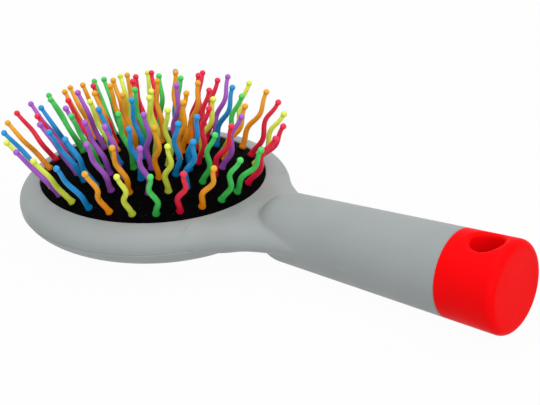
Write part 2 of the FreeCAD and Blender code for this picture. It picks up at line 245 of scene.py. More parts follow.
class HairbrushStage(bpy.types.PropertyGroup):
    """Camera and studio light."""

    azimuth: FloatProperty(name="Azimuth", description="Camera's turn round the brush", subtype="ANGLE",
                           default=math.radians(43.003))
    elevation: FloatProperty(name="Elevation", description="Camera's height as an angle", subtype="ANGLE",
                             default=math.radians(26.522))
    roll: FloatProperty(name="Roll", description="Camera's tilt about its own axis", subtype="ANGLE",
                        default=math.radians(-6.853))
    distance: length_property("Distance", "Camera to target", 405.42 * MM)
    target: FloatVectorProperty(name="Target", description="Point in the middle of the picture",
                                subtype="TRANSLATION", default=(35.93 * MM, 17.97 * MM, 6.60 * MM))
    lens: FloatProperty(name="Lens", description="Focal length in millimetres", default=81.385)
    ambient: FloatProperty(name="Ambient", description="Strength of the even studio light", default=0.63)
    top_power: FloatProperty(name="Top power", description="Watts of the soft lamp overhead", default=4.6)
    side_power: FloatProperty(name="Side power", description="Watts of the soft lamp at the handle's end",
                              default=3.95)
    floor_white: FloatProperty(name="Floor white", description="How far the floor is lifted to white",
                               default=0.97, min=0.0, max=1.0)


# Node trees

class Field:
    """A number in a node tree that takes part in sums like a plain one."""

    def __init__(self, tree, socket):
        self.tree = tree
        self.socket = socket

    def math(self, operation, *others):
        node = self.tree.nodes.new("ShaderNodeMath")
        node.operation = operation
        for slot, value in zip(node.inputs, (self, *others)):
            plug(self.tree, slot, value)
        return Field(self.tree, node.outputs[0])

    def __add__(self, other):
        return self.math("ADD", other)

    def __sub__(self, other):
        return self.math("SUBTRACT", other)

    def __mul__(self, other):
        return self.math("MULTIPLY", other)

    def __truediv__(self, other):
        return self.math("DIVIDE", other)

    def __pow__(self, other):
        return self.math("POWER", other)

    def ramp(self, start, end, low=0.0, high=1.0, kind="LINEAR"):
        """Runs from low to high while this number runs from start to end, and stays there."""
        node = self.tree.nodes.new("ShaderNodeMapRange")
        node.interpolation_type = kind
        for slot, value in zip(node.inputs, (self, start, end, low, high)):
            plug(self.tree, slot, value)
        return Field(self.tree, node.outputs[0])


def plug(tree, socket, value):
    """Links a socket to a field or another socket, or sets its value."""
    if isinstance(value, Field):
        value = value.socket
    if isinstance(value, bpy.types.NodeSocket):
        tree.links.new(value, socket)
    else:
        socket.default_value = value


def add_node(tree, kind, inputs=None, **settings):
    """A new node with its settings, and its inputs by name or number."""
    node = tree.nodes.new(kind)
    for name, value in settings.items():
        setattr(node, name, value)
    for name, value in (inputs or {}).items():
        plug(tree, node.inputs[name], value)
    return node


def geometry_tree(name, inputs):
    """A Geometry Nodes tree with named inputs, its input node and its output node."""
    tree = bpy.data.node_groups.new(name, "GeometryNodeTree")
    tree.interface.new_socket("Geometry", in_out="INPUT", socket_type="NodeSocketGeometry")
    for label, kind in inputs.items():
        tree.interface.new_socket(label, in_out="INPUT", socket_type=kind)
    tree.interface.new_socket("Geometry", in_out="OUTPUT", socket_type="NodeSocketGeometry")
    return tree, tree.nodes.new("NodeGroupInput"), tree.nodes.new("NodeGroupOutput")


def run_tree(piece, tree, values):
    """Runs a tree on a piece with inputs given by name, and keeps the plain mesh."""
    modifier = piece.modifiers.new(tree.name, "NODES")
    modifier.node_group = tree
    for item in tree.interface.items_tree:
        if item.in_out == "INPUT" and item.name in values:
            modifier[item.identifier] = values[item.name]
    settle(piece)


# Meshes and pieces

def settle(piece):
    """Turns a piece with modifiers into a plain mesh."""
    depsgraph = bpy.context.evaluated_depsgraph_get()
    mesh = bpy.data.meshes.new_from_object(piece.evaluated_get(depsgraph), depsgraph=depsgraph)
    if not mesh.vertices:
        raise RuntimeError(f"{piece.name} came out empty")
    piece.modifiers.clear()
    old = piece.data
    piece.data = mesh
    mesh.name = piece.name
    bpy.data.meshes.remove(old)


def new_piece(name, points, faces):
    """A mesh object at the origin, from its points and faces."""
    mesh = bpy.data.meshes.new(name)
    mesh.from_pydata(points, [], faces)
    piece = bpy.data.objects.new(name, mesh)
    bpy.context.scene.collection.objects.link(piece)
    return piece


def face_outwards(piece):
    """Recalculates a closed mesh's normals."""
    made = bmesh.new()
    made.from_mesh(piece.data)
    bmesh.ops.recalc_face_normals(made, faces=made.faces)
    made.to_mesh(piece.data)
    made.free()


def carve(piece, cutter, operation="DIFFERENCE"):
    """Cuts one solid out of another, or joins them, and drops the cutter."""
    before = len(piece.data.vertices)
    modifier = piece.modifiers.new("carve", "BOOLEAN")
    modifier.solver = "MANIFOLD"
    modifier.operation = operation
    modifier.object = cutter
    settle(piece)
    if len(piece.data.vertices) == before:
        raise RuntimeError(f"{cutter.name} didn't cut {piece.name}")
    bpy.data.objects.remove(cutter)


def shade(piece, material, sharp=math.radians(32)):
    """Gives a piece its finish, smooth faces and crisp corners."""
    piece.data.materials.clear()
    piece.data.materials.append(material)
    piece.data.shade_smooth()
    piece.data.set_sharp_from_angle(angle=sharp)


def stand_for(piece, body, slot, *nodes):
    """Rides on a body in place of its frame nodes."""
    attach(piece, body)
    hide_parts(*nodes)


def loft(name, loops, closed=False):
    """A closed solid through loops of points: a ring if closed, else with both ends capped."""
    count = len(loops[0])
    points = [tuple(point) for loop in loops for point in loop]
    faces = []
    spans = len(loops) if closed else len(loops) - 1
    for i in range(spans):
        here = i * count
        there = (i + 1) % len(loops) * count
        for j in range(count):
            k = (j + 1) % count
            faces.append((here + j, here + k, there + k, there + j))
    if not closed:
        faces.append(tuple(range(count)))
        faces.append(tuple(range(len(points) - count, len(points))))
    piece = new_piece(name, points, faces)
    face_outwards(piece)
    return piece


def oval_loops(sections, count=None):
    """Level ovals, each given by its half length, half width and height."""
    count = count or bpy.context.scene.hairbrush_form.oval_points
    turns = [2 * math.pi * i / count for i in range(count)]
    return [[(length * math.cos(t), width * math.sin(t), z) for t in turns]
            for length, width, z in sections]


def from_edge(profile):
    """Oval sections from offsets to the cushion's edge and heights."""
    return [(PAD_HALF_LENGTH + offset, PAD_HALF_WIDTH + offset, z) for offset, z in profile]


def handle_lathe(name, profile):
    """A solid turned about the handle's rising axis, from places along it and radii."""
    count = bpy.context.scene.hairbrush_form.oval_points // 2
    turns = [2 * math.pi * i / count for i in range(count)]
    place = Matrix.Translation((0, 0, HANDLE_AXIS_Z)) @ Matrix.Rotation(-HANDLE_RISE, 4, "Y")
    loops = [[place @ Vector((x, r * math.cos(t), r * math.sin(t))) for t in turns] for x, r in profile]
    return loft(name, loops)


def arc(centre, radius, start, end, steps):
    """Points of a round corner in a profile."""
    angles = [math.radians(start + (end - start) * i / steps) for i in range(steps + 1)]
    return [(centre[0] + radius * math.cos(a), centre[1] + radius * math.sin(a)) for a in angles]


# Distance rules of the moulded skins, negative inside

def smooth_union(first, second, softness):
    """The nearer of two distances, with the crease between them filled softly."""
    softness = np.maximum(softness, TINY)
    overlap = np.maximum(softness - np.abs(first - second), 0) / softness
    return np.minimum(first, second) - overlap ** 2 * softness / 4


def slope(distance, place):
    """Unit direction in which a distance rule grows fastest."""
    place = np.array(place)
    shifts = SLOPE_PROBE * np.eye(3)[:, :, None]
    growth = np.array([distance(*(place + shift)) - distance(*(place - shift)) for shift in shifts])
    return growth / np.maximum(np.linalg.norm(growth, axis=0), TINY)


def joined(first, second, softness, place):
    """Two distance rules in one, softly filled by the angle at which their surfaces meet.

    Surfaces that run into each other level get no fill, a square corner gets the most."""
    one = first(*place)
    other = second(*place)
    near = (np.abs(one - other) < softness) & (np.minimum(one, other) < softness)
    spots = [axis[near] for axis in place]
    turn = np.zeros_like(one)
    turn[near] = np.linalg.norm(slope(first, spots) - slope(second, spots), axis=0) / math.sqrt(2)
    return smooth_union(one, other, softness * np.minimum(turn, 1))


def rounded_corner(side, face, radius):
    """Distance to a solid between a side and a face that meet in a round."""
    out_side = side + radius
    out_face = face + radius
    outside = np.hypot(np.maximum(out_side, 0), np.maximum(out_face, 0))
    return outside + np.minimum(np.maximum(out_side, out_face), 0) - radius


def quarter_round(reach, span, lift, rise):
    """Distance to a quarter-round side, as wide as its span and as high as its rise."""
    out = np.maximum(reach, 0) / span
    up = lift / rise
    share = np.maximum(np.hypot(out, up), TINY)
    steepness = np.maximum(np.hypot(out / span, up / rise) / share, TINY)
    return (share - 1) / steepness


def head_distance(x, y, z):
    """The oval head: quarter-round rim over a quarter-round bowl."""
    reach = np.hypot(x, y)
    inner = reach / np.maximum(np.hypot(x / PAD_HALF_LENGTH, y / PAD_HALF_WIDTH), TINY)
    outer = reach / np.maximum(np.hypot(x / HEAD_HALF_LENGTH, y / HEAD_HALF_WIDTH), TINY)
    over = z > WIDEST_Z
    start = np.where(over, inner, inner - BACK_INSET)
    rise = np.where(over, RIM_TOP_Z - WIDEST_Z, WIDEST_Z - BACK_Z)
    return quarter_round(reach - start, np.maximum(outer - start, TINY), z - WIDEST_Z, rise)


def handle_radius(along):
    """The handle's outside radius at a place along its axis."""
    return NOSE_RADIUS + HANDLE_SWELL * (along - NOSE_CENTRE_X)


def neck_distance(x, y, z):
    """The web with hollow flanks between head and handle, its sides rounded like the rim."""
    end_y = handle_radius(NECK_END_X) - NECK_SIDE_INSET
    shoulder_share = math.sqrt(1 - (NECK_SHOULDER_X / HEAD_HALF_LENGTH) ** 2)
    shoulder_y = HEAD_HALF_WIDTH * shoulder_share
    run = NECK_END_X - NECK_SHOULDER_X
    narrowing = shoulder_y - end_y
    flank_radius = (run ** 2 + narrowing ** 2) / (2 * narrowing)
    side = np.abs(y)
    flank = flank_radius - np.hypot(x - NECK_END_X, side - end_y - flank_radius)
    plan = np.where(x > NECK_SHOULDER_X, flank, side - shoulder_y)
    plan = np.maximum(plan, np.maximum(x - NECK_END_X, NECK_ROOT_X - x))
    rim_width = HEAD_HALF_WIDTH - PAD_HALF_WIDTH
    rise = np.where(z > WIDEST_Z, NECK_TOP_Z - WIDEST_Z, WIDEST_Z - NECK_TOP_Z + NECK_THICKNESS)
    return quarter_round(plan + rim_width, rim_width, z - WIDEST_Z, rise)


def along_handle(x, y, z):
    """Place along the handle's rising axis, and distance from it."""
    lift = z - HANDLE_AXIS_Z
    along = x * math.cos(HANDLE_RISE) + lift * math.sin(HANDLE_RISE)
    aside = lift * math.cos(HANDLE_RISE) - x * math.sin(HANDLE_RISE)
    return along, np.hypot(y, aside)


def handle_distance(x, y, z):
    """The whole handle with its domed nose and the cap's round end."""
    along, reach = along_handle(x, y, z)
    side = (reach - handle_radius(along)) * math.cos(math.atan(HANDLE_SWELL))
    nose = np.hypot(along - NOSE_CENTRE_X, reach) - NOSE_RADIUS
    return rounded_corner(np.where(along > NOSE_CENTRE_X, side, nose), along - HANDLE_END_X, CAP_END_ROUND)


def neck_and_head_distance(x, y, z):
    """The head running into the neck, more softly past the shoulders."""
    softness = bpy.context.scene.hairbrush_form.neck_softness
    past_shoulder = np.clip((x - NECK_SHOULDER_X) / softness, 0, 1)
    eased = past_shoulder ** 2 * (3 - 2 * past_shoulder)
    return joined(head_distance, neck_distance, softness * eased, (x, y, z))


def body_distance(x, y, z):
    """Head, neck and handle in one skin, running on a little past the cap's seam."""
    softness = bpy.context.scene.hairbrush_form.crease_softness
    body = joined(neck_and_head_distance, handle_distance, softness, (x, y, z))
    return np.maximum(body, along_handle(x, y, z)[0] - CAP_SEAM_X - CUT_SPARE)


def cap_distance(x, y, z):
    """The cap with its soft-mouthed hanging hole, running on a little past its seam."""
    softness = bpy.context.scene.hairbrush_form.hole_round
    cap = np.maximum(handle_distance(x, y, z), CAP_SEAM_X - CUT_SPARE - along_handle(x, y, z)[0])
    outside_hole = np.hypot(x - HANG_HOLE_X, y) - HANG_HOLE_RADIUS
    return -smooth_union(-cap, outside_hole, softness)


def skin(name, distance, low, high, step, pulls=4):
    """A smooth closed mesh on the zero level of a distance rule.

    Surface nets give one point to each grid cell that the level passes through, and
    each point is then drawn onto the level along the rule's slope."""
    low = np.array(low)
    axes = [np.arange(a, b + step, step) for a, b in zip(low, high)]
    field = distance(*np.meshgrid(*axes, indexing="ij"))
    inside = field < 0
    cells = [size - 1 for size in field.shape]
    quads = []
    crossings = []
    for axis in range(3):
        ahead = np.eye(3, dtype=int)[axis]
        across = np.eye(3, dtype=int)[(axis + 1) % 3]
        beyond = np.eye(3, dtype=int)[(axis + 2) % 3]
        start = np.argwhere(np.diff(inside.astype(np.int8), axis=axis) != 0)
        here = field[tuple(start.T)]
        there = field[tuple((start + ahead).T)]
        crossings.append(low + step * (start + ahead * (here / (here - there))[:, None]))
        corners = [start - across, start, start - beyond, start - across - beyond]
        order = [corners[3], corners[2], corners[1], corners[0]]
        quad = np.stack([np.ravel_multi_index(tuple(cell.T), cells) for cell in order], axis=1)
        turned = here > 0
        quad[turned] = quad[turned][:, ::-1]
        quads.append(quad)
    quads = np.concatenate(quads)
    used, numbers = np.unique(quads, return_inverse=True)
    numbers = numbers.reshape(quads.shape)
    points = np.zeros((len(used), 3))
    for corner in range(4):
        np.add.at(points, numbers[:, corner], np.concatenate(crossings))
    points /= np.bincount(numbers.ravel(), minlength=len(used))[:, None]
    probe = step / 50
    for _ in range(pulls):
        gradient = np.stack([
            (distance(*(points + shift).T) - distance(*(points - shift).T)) / (2 * probe)
            for shift in probe * np.eye(3)
        ], axis=1)
        steepness = np.maximum((gradient ** 2).sum(axis=1), TINY)
        points -= gradient * (distance(*points.T) / steepness)[:, None]
    return new_piece(name, points.tolist(), numbers.tolist())


# Finishes

def new_material(name, colour, roughness, gloss=0.5):
    """A material, its tree and its shader, with even values set on the shader itself."""
    material = bpy.data.materials.new(name)
    material.use_nodes = True
    tree = material.node_tree
    shader = tree.nodes["Principled BSDF"]
    shader.inputs["Base Color"].default_value = (*colour, 1)
    shader.inputs["Roughness"].default_value = roughness
    shader.inputs["Specular IOR Level"].default_value = gloss
    return material, tree, shader


def noise(tree, size, detail=2.0, stretch=(1, 1, 1)):
    """Cloudy noise of a given size, in the piece's own metres."""
    place = add_node(tree, "ShaderNodeTexCoord").outputs["Object"]
    mapped = add_node(tree, "ShaderNodeMapping", {"Vector": place, "Scale": stretch})
    made = add_node(tree, "ShaderNodeTexNoise",
                    {"Vector": mapped.outputs[0], "Scale": 1 / size, "Detail": detail})
    return Field(tree, made.outputs["Fac"])


def blend_colour(tree, share, first, second):
    """A colour between two, by a field that runs from 0 to 1."""
    node = add_node(tree, "ShaderNodeMix", {0: share}, data_type="RGBA")
    for number, colour in ((6, first), (7, second)):
        linked = isinstance(colour, bpy.types.NodeSocket)
        plug(tree, node.inputs[number], colour if linked else (*colour, 1))
    return node.outputs[2]


def shaded(colour, share):
    """A colour made darker or lighter by a share."""
    return tuple(min(1.0, value * share) for value in colour)


def grain(tree, shader, height, depth):
    """Bumps a shader's surface by a height field, to a depth in metres."""
    bump = add_node(tree, "ShaderNodeBump", {"Height": height, "Distance": depth, "Strength": 1.0})
    plug(tree, shader.inputs["Normal"], bump.outputs["Normal"])


def moulded_plastic(name, colour, roughness, gloss, grain_depth=0.012 * MM):
    """Satin moulded plastic: faint clouds of shade, handling scuffs and a fine grain."""
    material, tree, shader = new_material(name, colour, roughness, gloss)
    clouds = noise(tree, 22 * MM, 3).ramp(0.35, 0.65)
    tone = blend_colour(tree, clouds, shaded(colour, 0.965), shaded(colour, 1.03))
    scuffs = noise(tree, 2.2 * MM, 5, (0.18, 1, 1)).ramp(0.66, 0.74, 0.0, 0.14)
    plug(tree, shader.inputs["Base Color"], blend_colour(tree, scuffs, tone, shaded(colour, 1.25)))
    wear = noise(tree, 9 * MM, 4).ramp(0.3, 0.7, roughness - 0.06, roughness + 0.06)
    plug(tree, shader.inputs["Roughness"], wear)
    grain(tree, shader, noise(tree, 0.28 * MM, 3), grain_depth)
    return material


SPECK_SPACING = 0.9 * MM
SPECK_GREY = srgb(72, 68, 72)


def cushion_rubber(colour):
    """Black rubber with a fine matt grain and sparse pale specks."""
    material, tree, shader = new_material("cushion_rubber", colour, 0.7, 0.012)
    place = add_node(tree, "ShaderNodeTexCoord").outputs["Object"]
    cells = add_node(tree, "ShaderNodeTexVoronoi", {"Vector": place, "Scale": 1 / SPECK_SPACING})
    chosen = Field(tree, add_node(tree, "ShaderNodeSeparateColor", {0: cells.outputs["Color"]}).outputs[0])
    specks = Field(tree, cells.outputs["Distance"]).ramp(0.1, 0.16, 1.0, 0.0) * chosen.ramp(0.78, 0.80)
    clouds = noise(tree, 6 * MM, 4).ramp(0.35, 0.7)
    tone = blend_colour(tree, clouds, shaded(colour, 0.75), shaded(colour, 1.5))
    plug(tree, shader.inputs["Base Color"], blend_colour(tree, specks * 0.8, tone, SPECK_GREY))
    grain(tree, shader, noise(tree, 0.35 * MM, 4), 0.05 * MM)
    return material


def bristle_plastic(name, colour):
    """Satin, slightly translucent plastic, with painted shade deepening its colour towards the cushion and
    a painted highlight paling it towards the tip.
    """
    material, tree, shader = new_material(f"bristle_plastic_{name}", colour, 0.36, 0.2)
    height = Field(tree, add_node(tree, "ShaderNodeAttribute", attribute_name="height").outputs["Fac"])
    # Painted shade at each bristle's foot and a painted highlight at its tip, blended by height
    painted_foot_shade = tuple(value ** 1.1 * 0.85 for value in colour)
    pale = tuple(min(1.0, value * 1.35 + 0.03) for value in colour)
    tone = blend_colour(tree, height.ramp(0.0, 0.9), painted_foot_shade, pale)
    clouds = noise(tree, 3 * MM, 2).ramp(0.3, 0.7, 0.0, 0.25)
    plug(tree, shader.inputs["Base Color"], blend_colour(tree, clouds, tone, shaded(colour, 0.9)))
    shader.inputs["Subsurface Weight"].default_value = 0.12
    shader.inputs["Subsurface Radius"].default_value = (1.0 * MM, 1.0 * MM, 1.0 * MM)
    shader.inputs["Subsurface Scale"].default_value = 1.0
    grain(tree, shader, noise(tree, 0.5 * MM, 2), 0.01 * MM)
    return material


def silvered_glass(colour):
    """Mirror plate, with the faint uneven haze of handling."""
    material, tree, shader = new_material("silvered_glass", colour, 0.03)
    shader.inputs["Metallic"].default_value = 1.0
    haze = noise(tree, 12 * MM, 5).ramp(0.45, 0.75, 0.015, 0.07)
    plug(tree, shader.inputs["Roughness"], haze)
    clouds = noise(tree, 30 * MM, 2)
    plug(tree, shader.inputs["Base Color"], blend_colour(tree, clouds, shaded(colour, 0.97), colour))
    return material


def foam_tape(colour):
    """White closed-cell foam."""
    material, tree, shader = new_material("foam_tape", colour, 0.85)
    place = add_node(tree, "ShaderNodeTexCoord").outputs["Object"]
    cells = add_node(tree, "ShaderNodeTexVoronoi", {"Vector": place, "Scale": 1 / (0.4 * MM)})
    distance = Field(tree, cells.outputs["Distance"])
    plug(tree, shader.inputs["Base Color"], blend_colour(tree, distance, shaded(colour, 0.85), colour))
    grain(tree, shader, distance, 0.08 * MM)
    return material


# Cushion

def dome_z(share):
    """Height of the cushion's top at a share of its oval."""
    drop = DOME_RADIUS - math.sqrt(DOME_RADIUS ** 2 - (PAD_HALF_WIDTH * share) ** 2)
    return PAD_EDGE_Z + PAD_CROWN - drop


def bristle_root(share, angle, turned_over):
    """Where one bristle leaves the cushion, which way it leans and which way it waves."""
    along = share * math.cos(angle)
    across = share * math.sin(angle)
    base = Vector((PAD_HALF_LENGTH * along, PAD_HALF_WIDTH * across, dome_z(share)))
    lean = Vector(((LEAN_AT_HANDLE if along > 0 else LEAN_AT_FREE_END) * along, LEAN_AT_SIDE * across, 1))
    swing = (1 + along) / 2
    turn = WAVE_TURN_AT_FREE_END * (1 - swing) + WAVE_TURN_AT_HANDLE * swing
    turn += math.pi if turned_over else 0
    return base, lean.normalized(), Vector((math.cos(turn), math.sin(turn), 0))


def bristle_roots():
    """Every bristle's group, colour name and root, ring by ring."""
    found = []
    for group, share, first, letters in RINGS:
        for i, letter in enumerate(letters):
            angle = math.radians(first + 360 * i / len(letters))
            found.append((group, COLOURS[letter.upper()], bristle_root(share, angle, letter.islower())))
    return found


def collar_tree():
    """Raises the cushion's top into a low collar round each bristle."""
    tree, given, result = geometry_tree("Cushion collars", {
        "Roots": "NodeSocketObject", "Height": "NodeSocketFloat", "Radius": "NodeSocketFloat",
        "Material": "NodeSocketMaterial"})
    roots = add_node(tree, "GeometryNodeObjectInfo", {"Object": given.outputs["Roots"]})
    near = add_node(tree, "GeometryNodeProximity", {0: roots.outputs["Geometry"]}, target_element="POINTS")
    rise = Field(tree, near.outputs["Distance"]).ramp(
        given.outputs["Radius"], 0.0, 0.0, given.outputs["Height"], kind="SMOOTHSTEP")
    normal = add_node(tree, "GeometryNodeInputNormal").outputs[0]
    facing = Field(tree, add_node(tree, "ShaderNodeSeparateXYZ", {0: normal}).outputs["Z"])
    offset = add_node(tree, "ShaderNodeVectorMath", {0: normal, "Scale": rise * facing.ramp(0.2, 0.4)},
                      operation="SCALE")
    moved = add_node(tree, "GeometryNodeSetPosition",
                     {"Geometry": given.outputs["Geometry"], "Offset": offset.outputs[0]})
    finished = add_node(tree, "GeometryNodeSetMaterial",
                        {"Geometry": moved.outputs[0], "Material": given.outputs["Material"]})
    plug(tree, result.inputs[0], finished.outputs[0])
    return tree


def cushion_sections():
    """The membrane's ovals: round the top from its middle to its edge, then back underneath."""
    top_steps = 100
    under_steps = 14
    first_share = 0.02
    edge_share = 1 - (PAD_CLEARANCE + PAD_EDGE_ROUND) / PAD_HALF_WIDTH
    inner_share = 1 - PAD_SIDE_WALL / PAD_HALF_WIDTH
    sections = []
    for i in range(top_steps + 1):
        share = first_share + (edge_share - first_share) * i / top_steps
        sections.append((PAD_HALF_LENGTH * share, PAD_HALF_WIDTH * share, dome_z(share)))
    edge_z = dome_z(edge_share)
    centre = (-PAD_CLEARANCE - PAD_EDGE_ROUND, edge_z - PAD_EDGE_ROUND)
    sections += from_edge(arc(centre, PAD_EDGE_ROUND, 75, 0, 5))
    sections += from_edge([(-PAD_CLEARANCE, LIP_Z), (-PAD_SIDE_WALL, LIP_Z)])
    for i in range(under_steps + 1):
        share = inner_share + (first_share - inner_share) * i / under_steps
        sections.append((PAD_HALF_LENGTH * share, PAD_HALF_WIDTH * share, dome_z(share) - PAD_WALL))
    return sections


class HAIRBRUSH_OT_make_cushion(bpy.types.Operator):
    """Model the domed rubber cushion with its collars and flange"""

    bl_idname = "hairbrush.make_cushion"
    bl_label = "Make cushion"

    def execute(self, context):
        form = context.scene.hairbrush_form
        rubber = cushion_rubber(context.scene.hairbrush_finish.cushion_black)
        crown = loft("cushion_crown", oval_loops(cushion_sections(), form.cushion_points))
        roots = new_piece("bristle_roots", [root[0] for _, _, root in bristle_roots()], [])
        run_tree(crown, collar_tree(), {"Roots": roots, "Height": form.collar_height,
                                        "Radius": form.collar_radius, "Material": rubber})
        bpy.data.objects.remove(roots)
        shade(crown, rubber)
        flange_profile = [(FLANGE_WIDTH, FLANGE_Z), (FLANGE_WIDTH, LIP_Z),
                          (-PAD_SIDE_WALL, LIP_Z), (-PAD_SIDE_WALL, FLANGE_Z)]
        flange = loft("cushion_flange", oval_loops(from_edge(flange_profile)), closed=True)
        shade(flange, rubber)
        for piece in (crown, flange):
            stand_for(piece, "brush_body", "cushion_black", "cushion_pad")
        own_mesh(crown)
        return {"FINISHED"}


# Body shell, back cover and cap

def bowl_section(angle, floor_z, wall):
    """The bowl's oval at one angle of its quarter-round side, walls taken off."""
    reach = math.cos(math.radians(angle))
    z = WIDEST_Z - (WIDEST_Z - floor_z) * math.sin(math.radians(angle))
    length = PAD_HALF_LENGTH - BACK_INSET
    width = PAD_HALF_WIDTH - BACK_INSET
    return (length + (HEAD_HALF_LENGTH - length - wall) * reach,
            width + (HEAD_HALF_WIDTH - width - wall) * reach, z)


def bowl_side(floor_z, wall, steps=20):
    """The bowl's ovals from its floor up to the parting line."""
    top = math.degrees(math.asin((WIDEST_Z - PARTING_Z) / (WIDEST_Z - floor_z)))
    return [bowl_section(90 + (top - 90) * i / steps, floor_z, wall) for i in range(steps + 1)]


def tongue_profile(clearance):
    """The tongue on the cover's edge, or its groove when widened, as offsets and heights."""
    middle = (CAVITY_OFFSET + HEAD_HALF_LENGTH - PAD_HALF_LENGTH) / 2
    reach = TONGUE_WIDTH / 2 + clearance
    top = PARTING_Z + TONGUE_HEIGHT + clearance
    return [(middle + reach, PARTING_Z), (middle + reach, top),
            (middle - reach, top), (middle - reach, PARTING_Z)]


class HAIRBRUSH_OT_make_body_shell(bpy.types.Operator):
    """Model the head's rim, neck and hollow handle as one soft moulding"""

    bl_idname = "hairbrush.make_body_shell"
    bl_label = "Make body shell"

    def execute(self, context):
        form = context.scene.hairbrush_form
        margin = 3 * form.mesh_step
        low = (SHELL_LOW.x - margin, SHELL_LOW.y - margin, -margin)
        high = (SHELL_HIGH.x + CUT_SPARE + margin, SHELL_HIGH.y + margin, SHELL_HIGH.z + margin)
        shell = skin("shell", body_distance, low, high, form.mesh_step)
        shell.name = "grey_body_shell"
        self.cut_bowl(shell)
        self.cut_window(shell, form.lip_round)
        self.cut_handle(shell, form.groove)
        finish = context.scene.hairbrush_finish
        shade(shell, moulded_plastic("shell_plastic", finish.shell_grey, 0.46, 0.35))
        stand_for(shell, "brush_body", "body_grey", "body_shell")
        return {"FINISHED"}

    def cut_bowl(self, shell):
        """Takes the back cover's place and its tongue's groove out of the shell."""
        room = [(length + PAD_CLEARANCE, width + PAD_CLEARANCE, z)
                for length, width, z in bowl_side(BACK_Z, 0)]
        below = [(room[0][0], room[0][1], BACK_Z - CUT_SPARE)]
        carve(shell, loft("bowl", oval_loops(below + room)))
        groove = tongue_profile(TONGUE_CLEARANCE)
        groove[0] = (groove[0][0], PARTING_Z - CUT_SPARE)
        groove[-1] = (groove[-1][0], PARTING_Z - CUT_SPARE)
        carve(shell, loft("tongue_groove", oval_loops(from_edge(groove)), closed=True))

    def cut_window(self, shell, lip_round):
        """Opens the cushion's window, with a rounded lip, and the space under it."""
        top = RIM_TOP_Z + CUT_SPARE
        lip = arc((lip_round, RIM_TOP_Z - lip_round), lip_round, 180, 100, 6)
        profile = [(CAVITY_OFFSET, PARTING_Z - CUT_SPARE), (CAVITY_OFFSET, LIP_Z), (0, LIP_Z)]
        profile += lip + [(lip[-1][0], top)]
        carve(shell, loft("window", oval_loops(from_edge(profile))))

    def cut_handle(self, shell, groove):
        """Bores the handle and trims its end to the cap's seam."""
        start = NOSE_CENTRE_X + BORE_SETBACK
        end = CAP_SEAM_X + 2 * CUT_SPARE
        bore = [(start, handle_radius(start) - HANDLE_WALL), (end, handle_radius(end) - HANDLE_WALL)]
        carve(shell, handle_lathe("bore", bore))
        seam_radius = handle_radius(CAP_SEAM_X)
        trim = [(CAP_SEAM_X, seam_radius - groove), (CAP_SEAM_X - 2 * groove, seam_radius + groove),
                (CAP_SEAM_X - 2 * groove, seam_radius + CUT_SPARE), (end, seam_radius + CUT_SPARE)]
        carve(shell, handle_lathe("seam_trim", trim))


class HAIRBRUSH_OT_make_back_cover(bpy.types.Operator):
    """Model the bowl behind the cushion, with the mirror's raised rim"""

    bl_idname = "hairbrush.make_back_cover"
    bl_label = "Make back cover"

    def execute(self, context):
        groove = context.scene.hairbrush_form.groove
        rim_out = -BACK_INSET
        rim_in = rim_out - MIRROR_RIM_WALL
        edge_round = MIRROR_RIM_ROUND / 3
        rim = [(rim_in, POCKET_TOP_Z)]
        rim += arc((rim_in + edge_round, edge_round), edge_round, 180, 270, 4)
        rim += arc((rim_out - MIRROR_RIM_ROUND, MIRROR_RIM_ROUND), MIRROR_RIM_ROUND, 270, 360, 6)
        outside = bowl_side(BACK_Z, 0)
        length, width, z = outside.pop()
        chamfer = [(length, width, z - 2 * groove), (length - groove, width - groove, z)]
        inside = bowl_side(FLOOR_Z, HEAD_WALL)
        inside.reverse()
        rib = [(SUPPORT_RIB_WIDTH + PAD_CLEARANCE, PARTING_Z), (PAD_CLEARANCE, PARTING_Z)]
        wall_foot = [section for section in inside if section[0] > PAD_HALF_LENGTH + rib[0][0]]
        floor = [section for section in inside if section[0] < PAD_HALF_LENGTH]
        sections = from_edge(rim) + outside[:-1] + chamfer + from_edge(tongue_profile(0))
        sections += wall_foot + self.rib_sections(wall_foot[-1], floor[0], rib) + floor
        cover = loft("grey_back_cover", oval_loops(sections))
        finish = context.scene.hairbrush_finish
        shade(cover, moulded_plastic("cover_plastic", finish.shell_grey, 0.46, 0.35))
        stand_for(cover, "brush_body", "body_grey", "back_cover")
        return {"FINISHED"}

    def rib_sections(self, before, after, rib):
        """The upright rib under the clamp ring, between the wall's foot and the floor."""
        outer, inner = from_edge(rib)
        return [(outer[0], outer[1], before[2]), outer, inner, (inner[0], inner[1], after[2])]


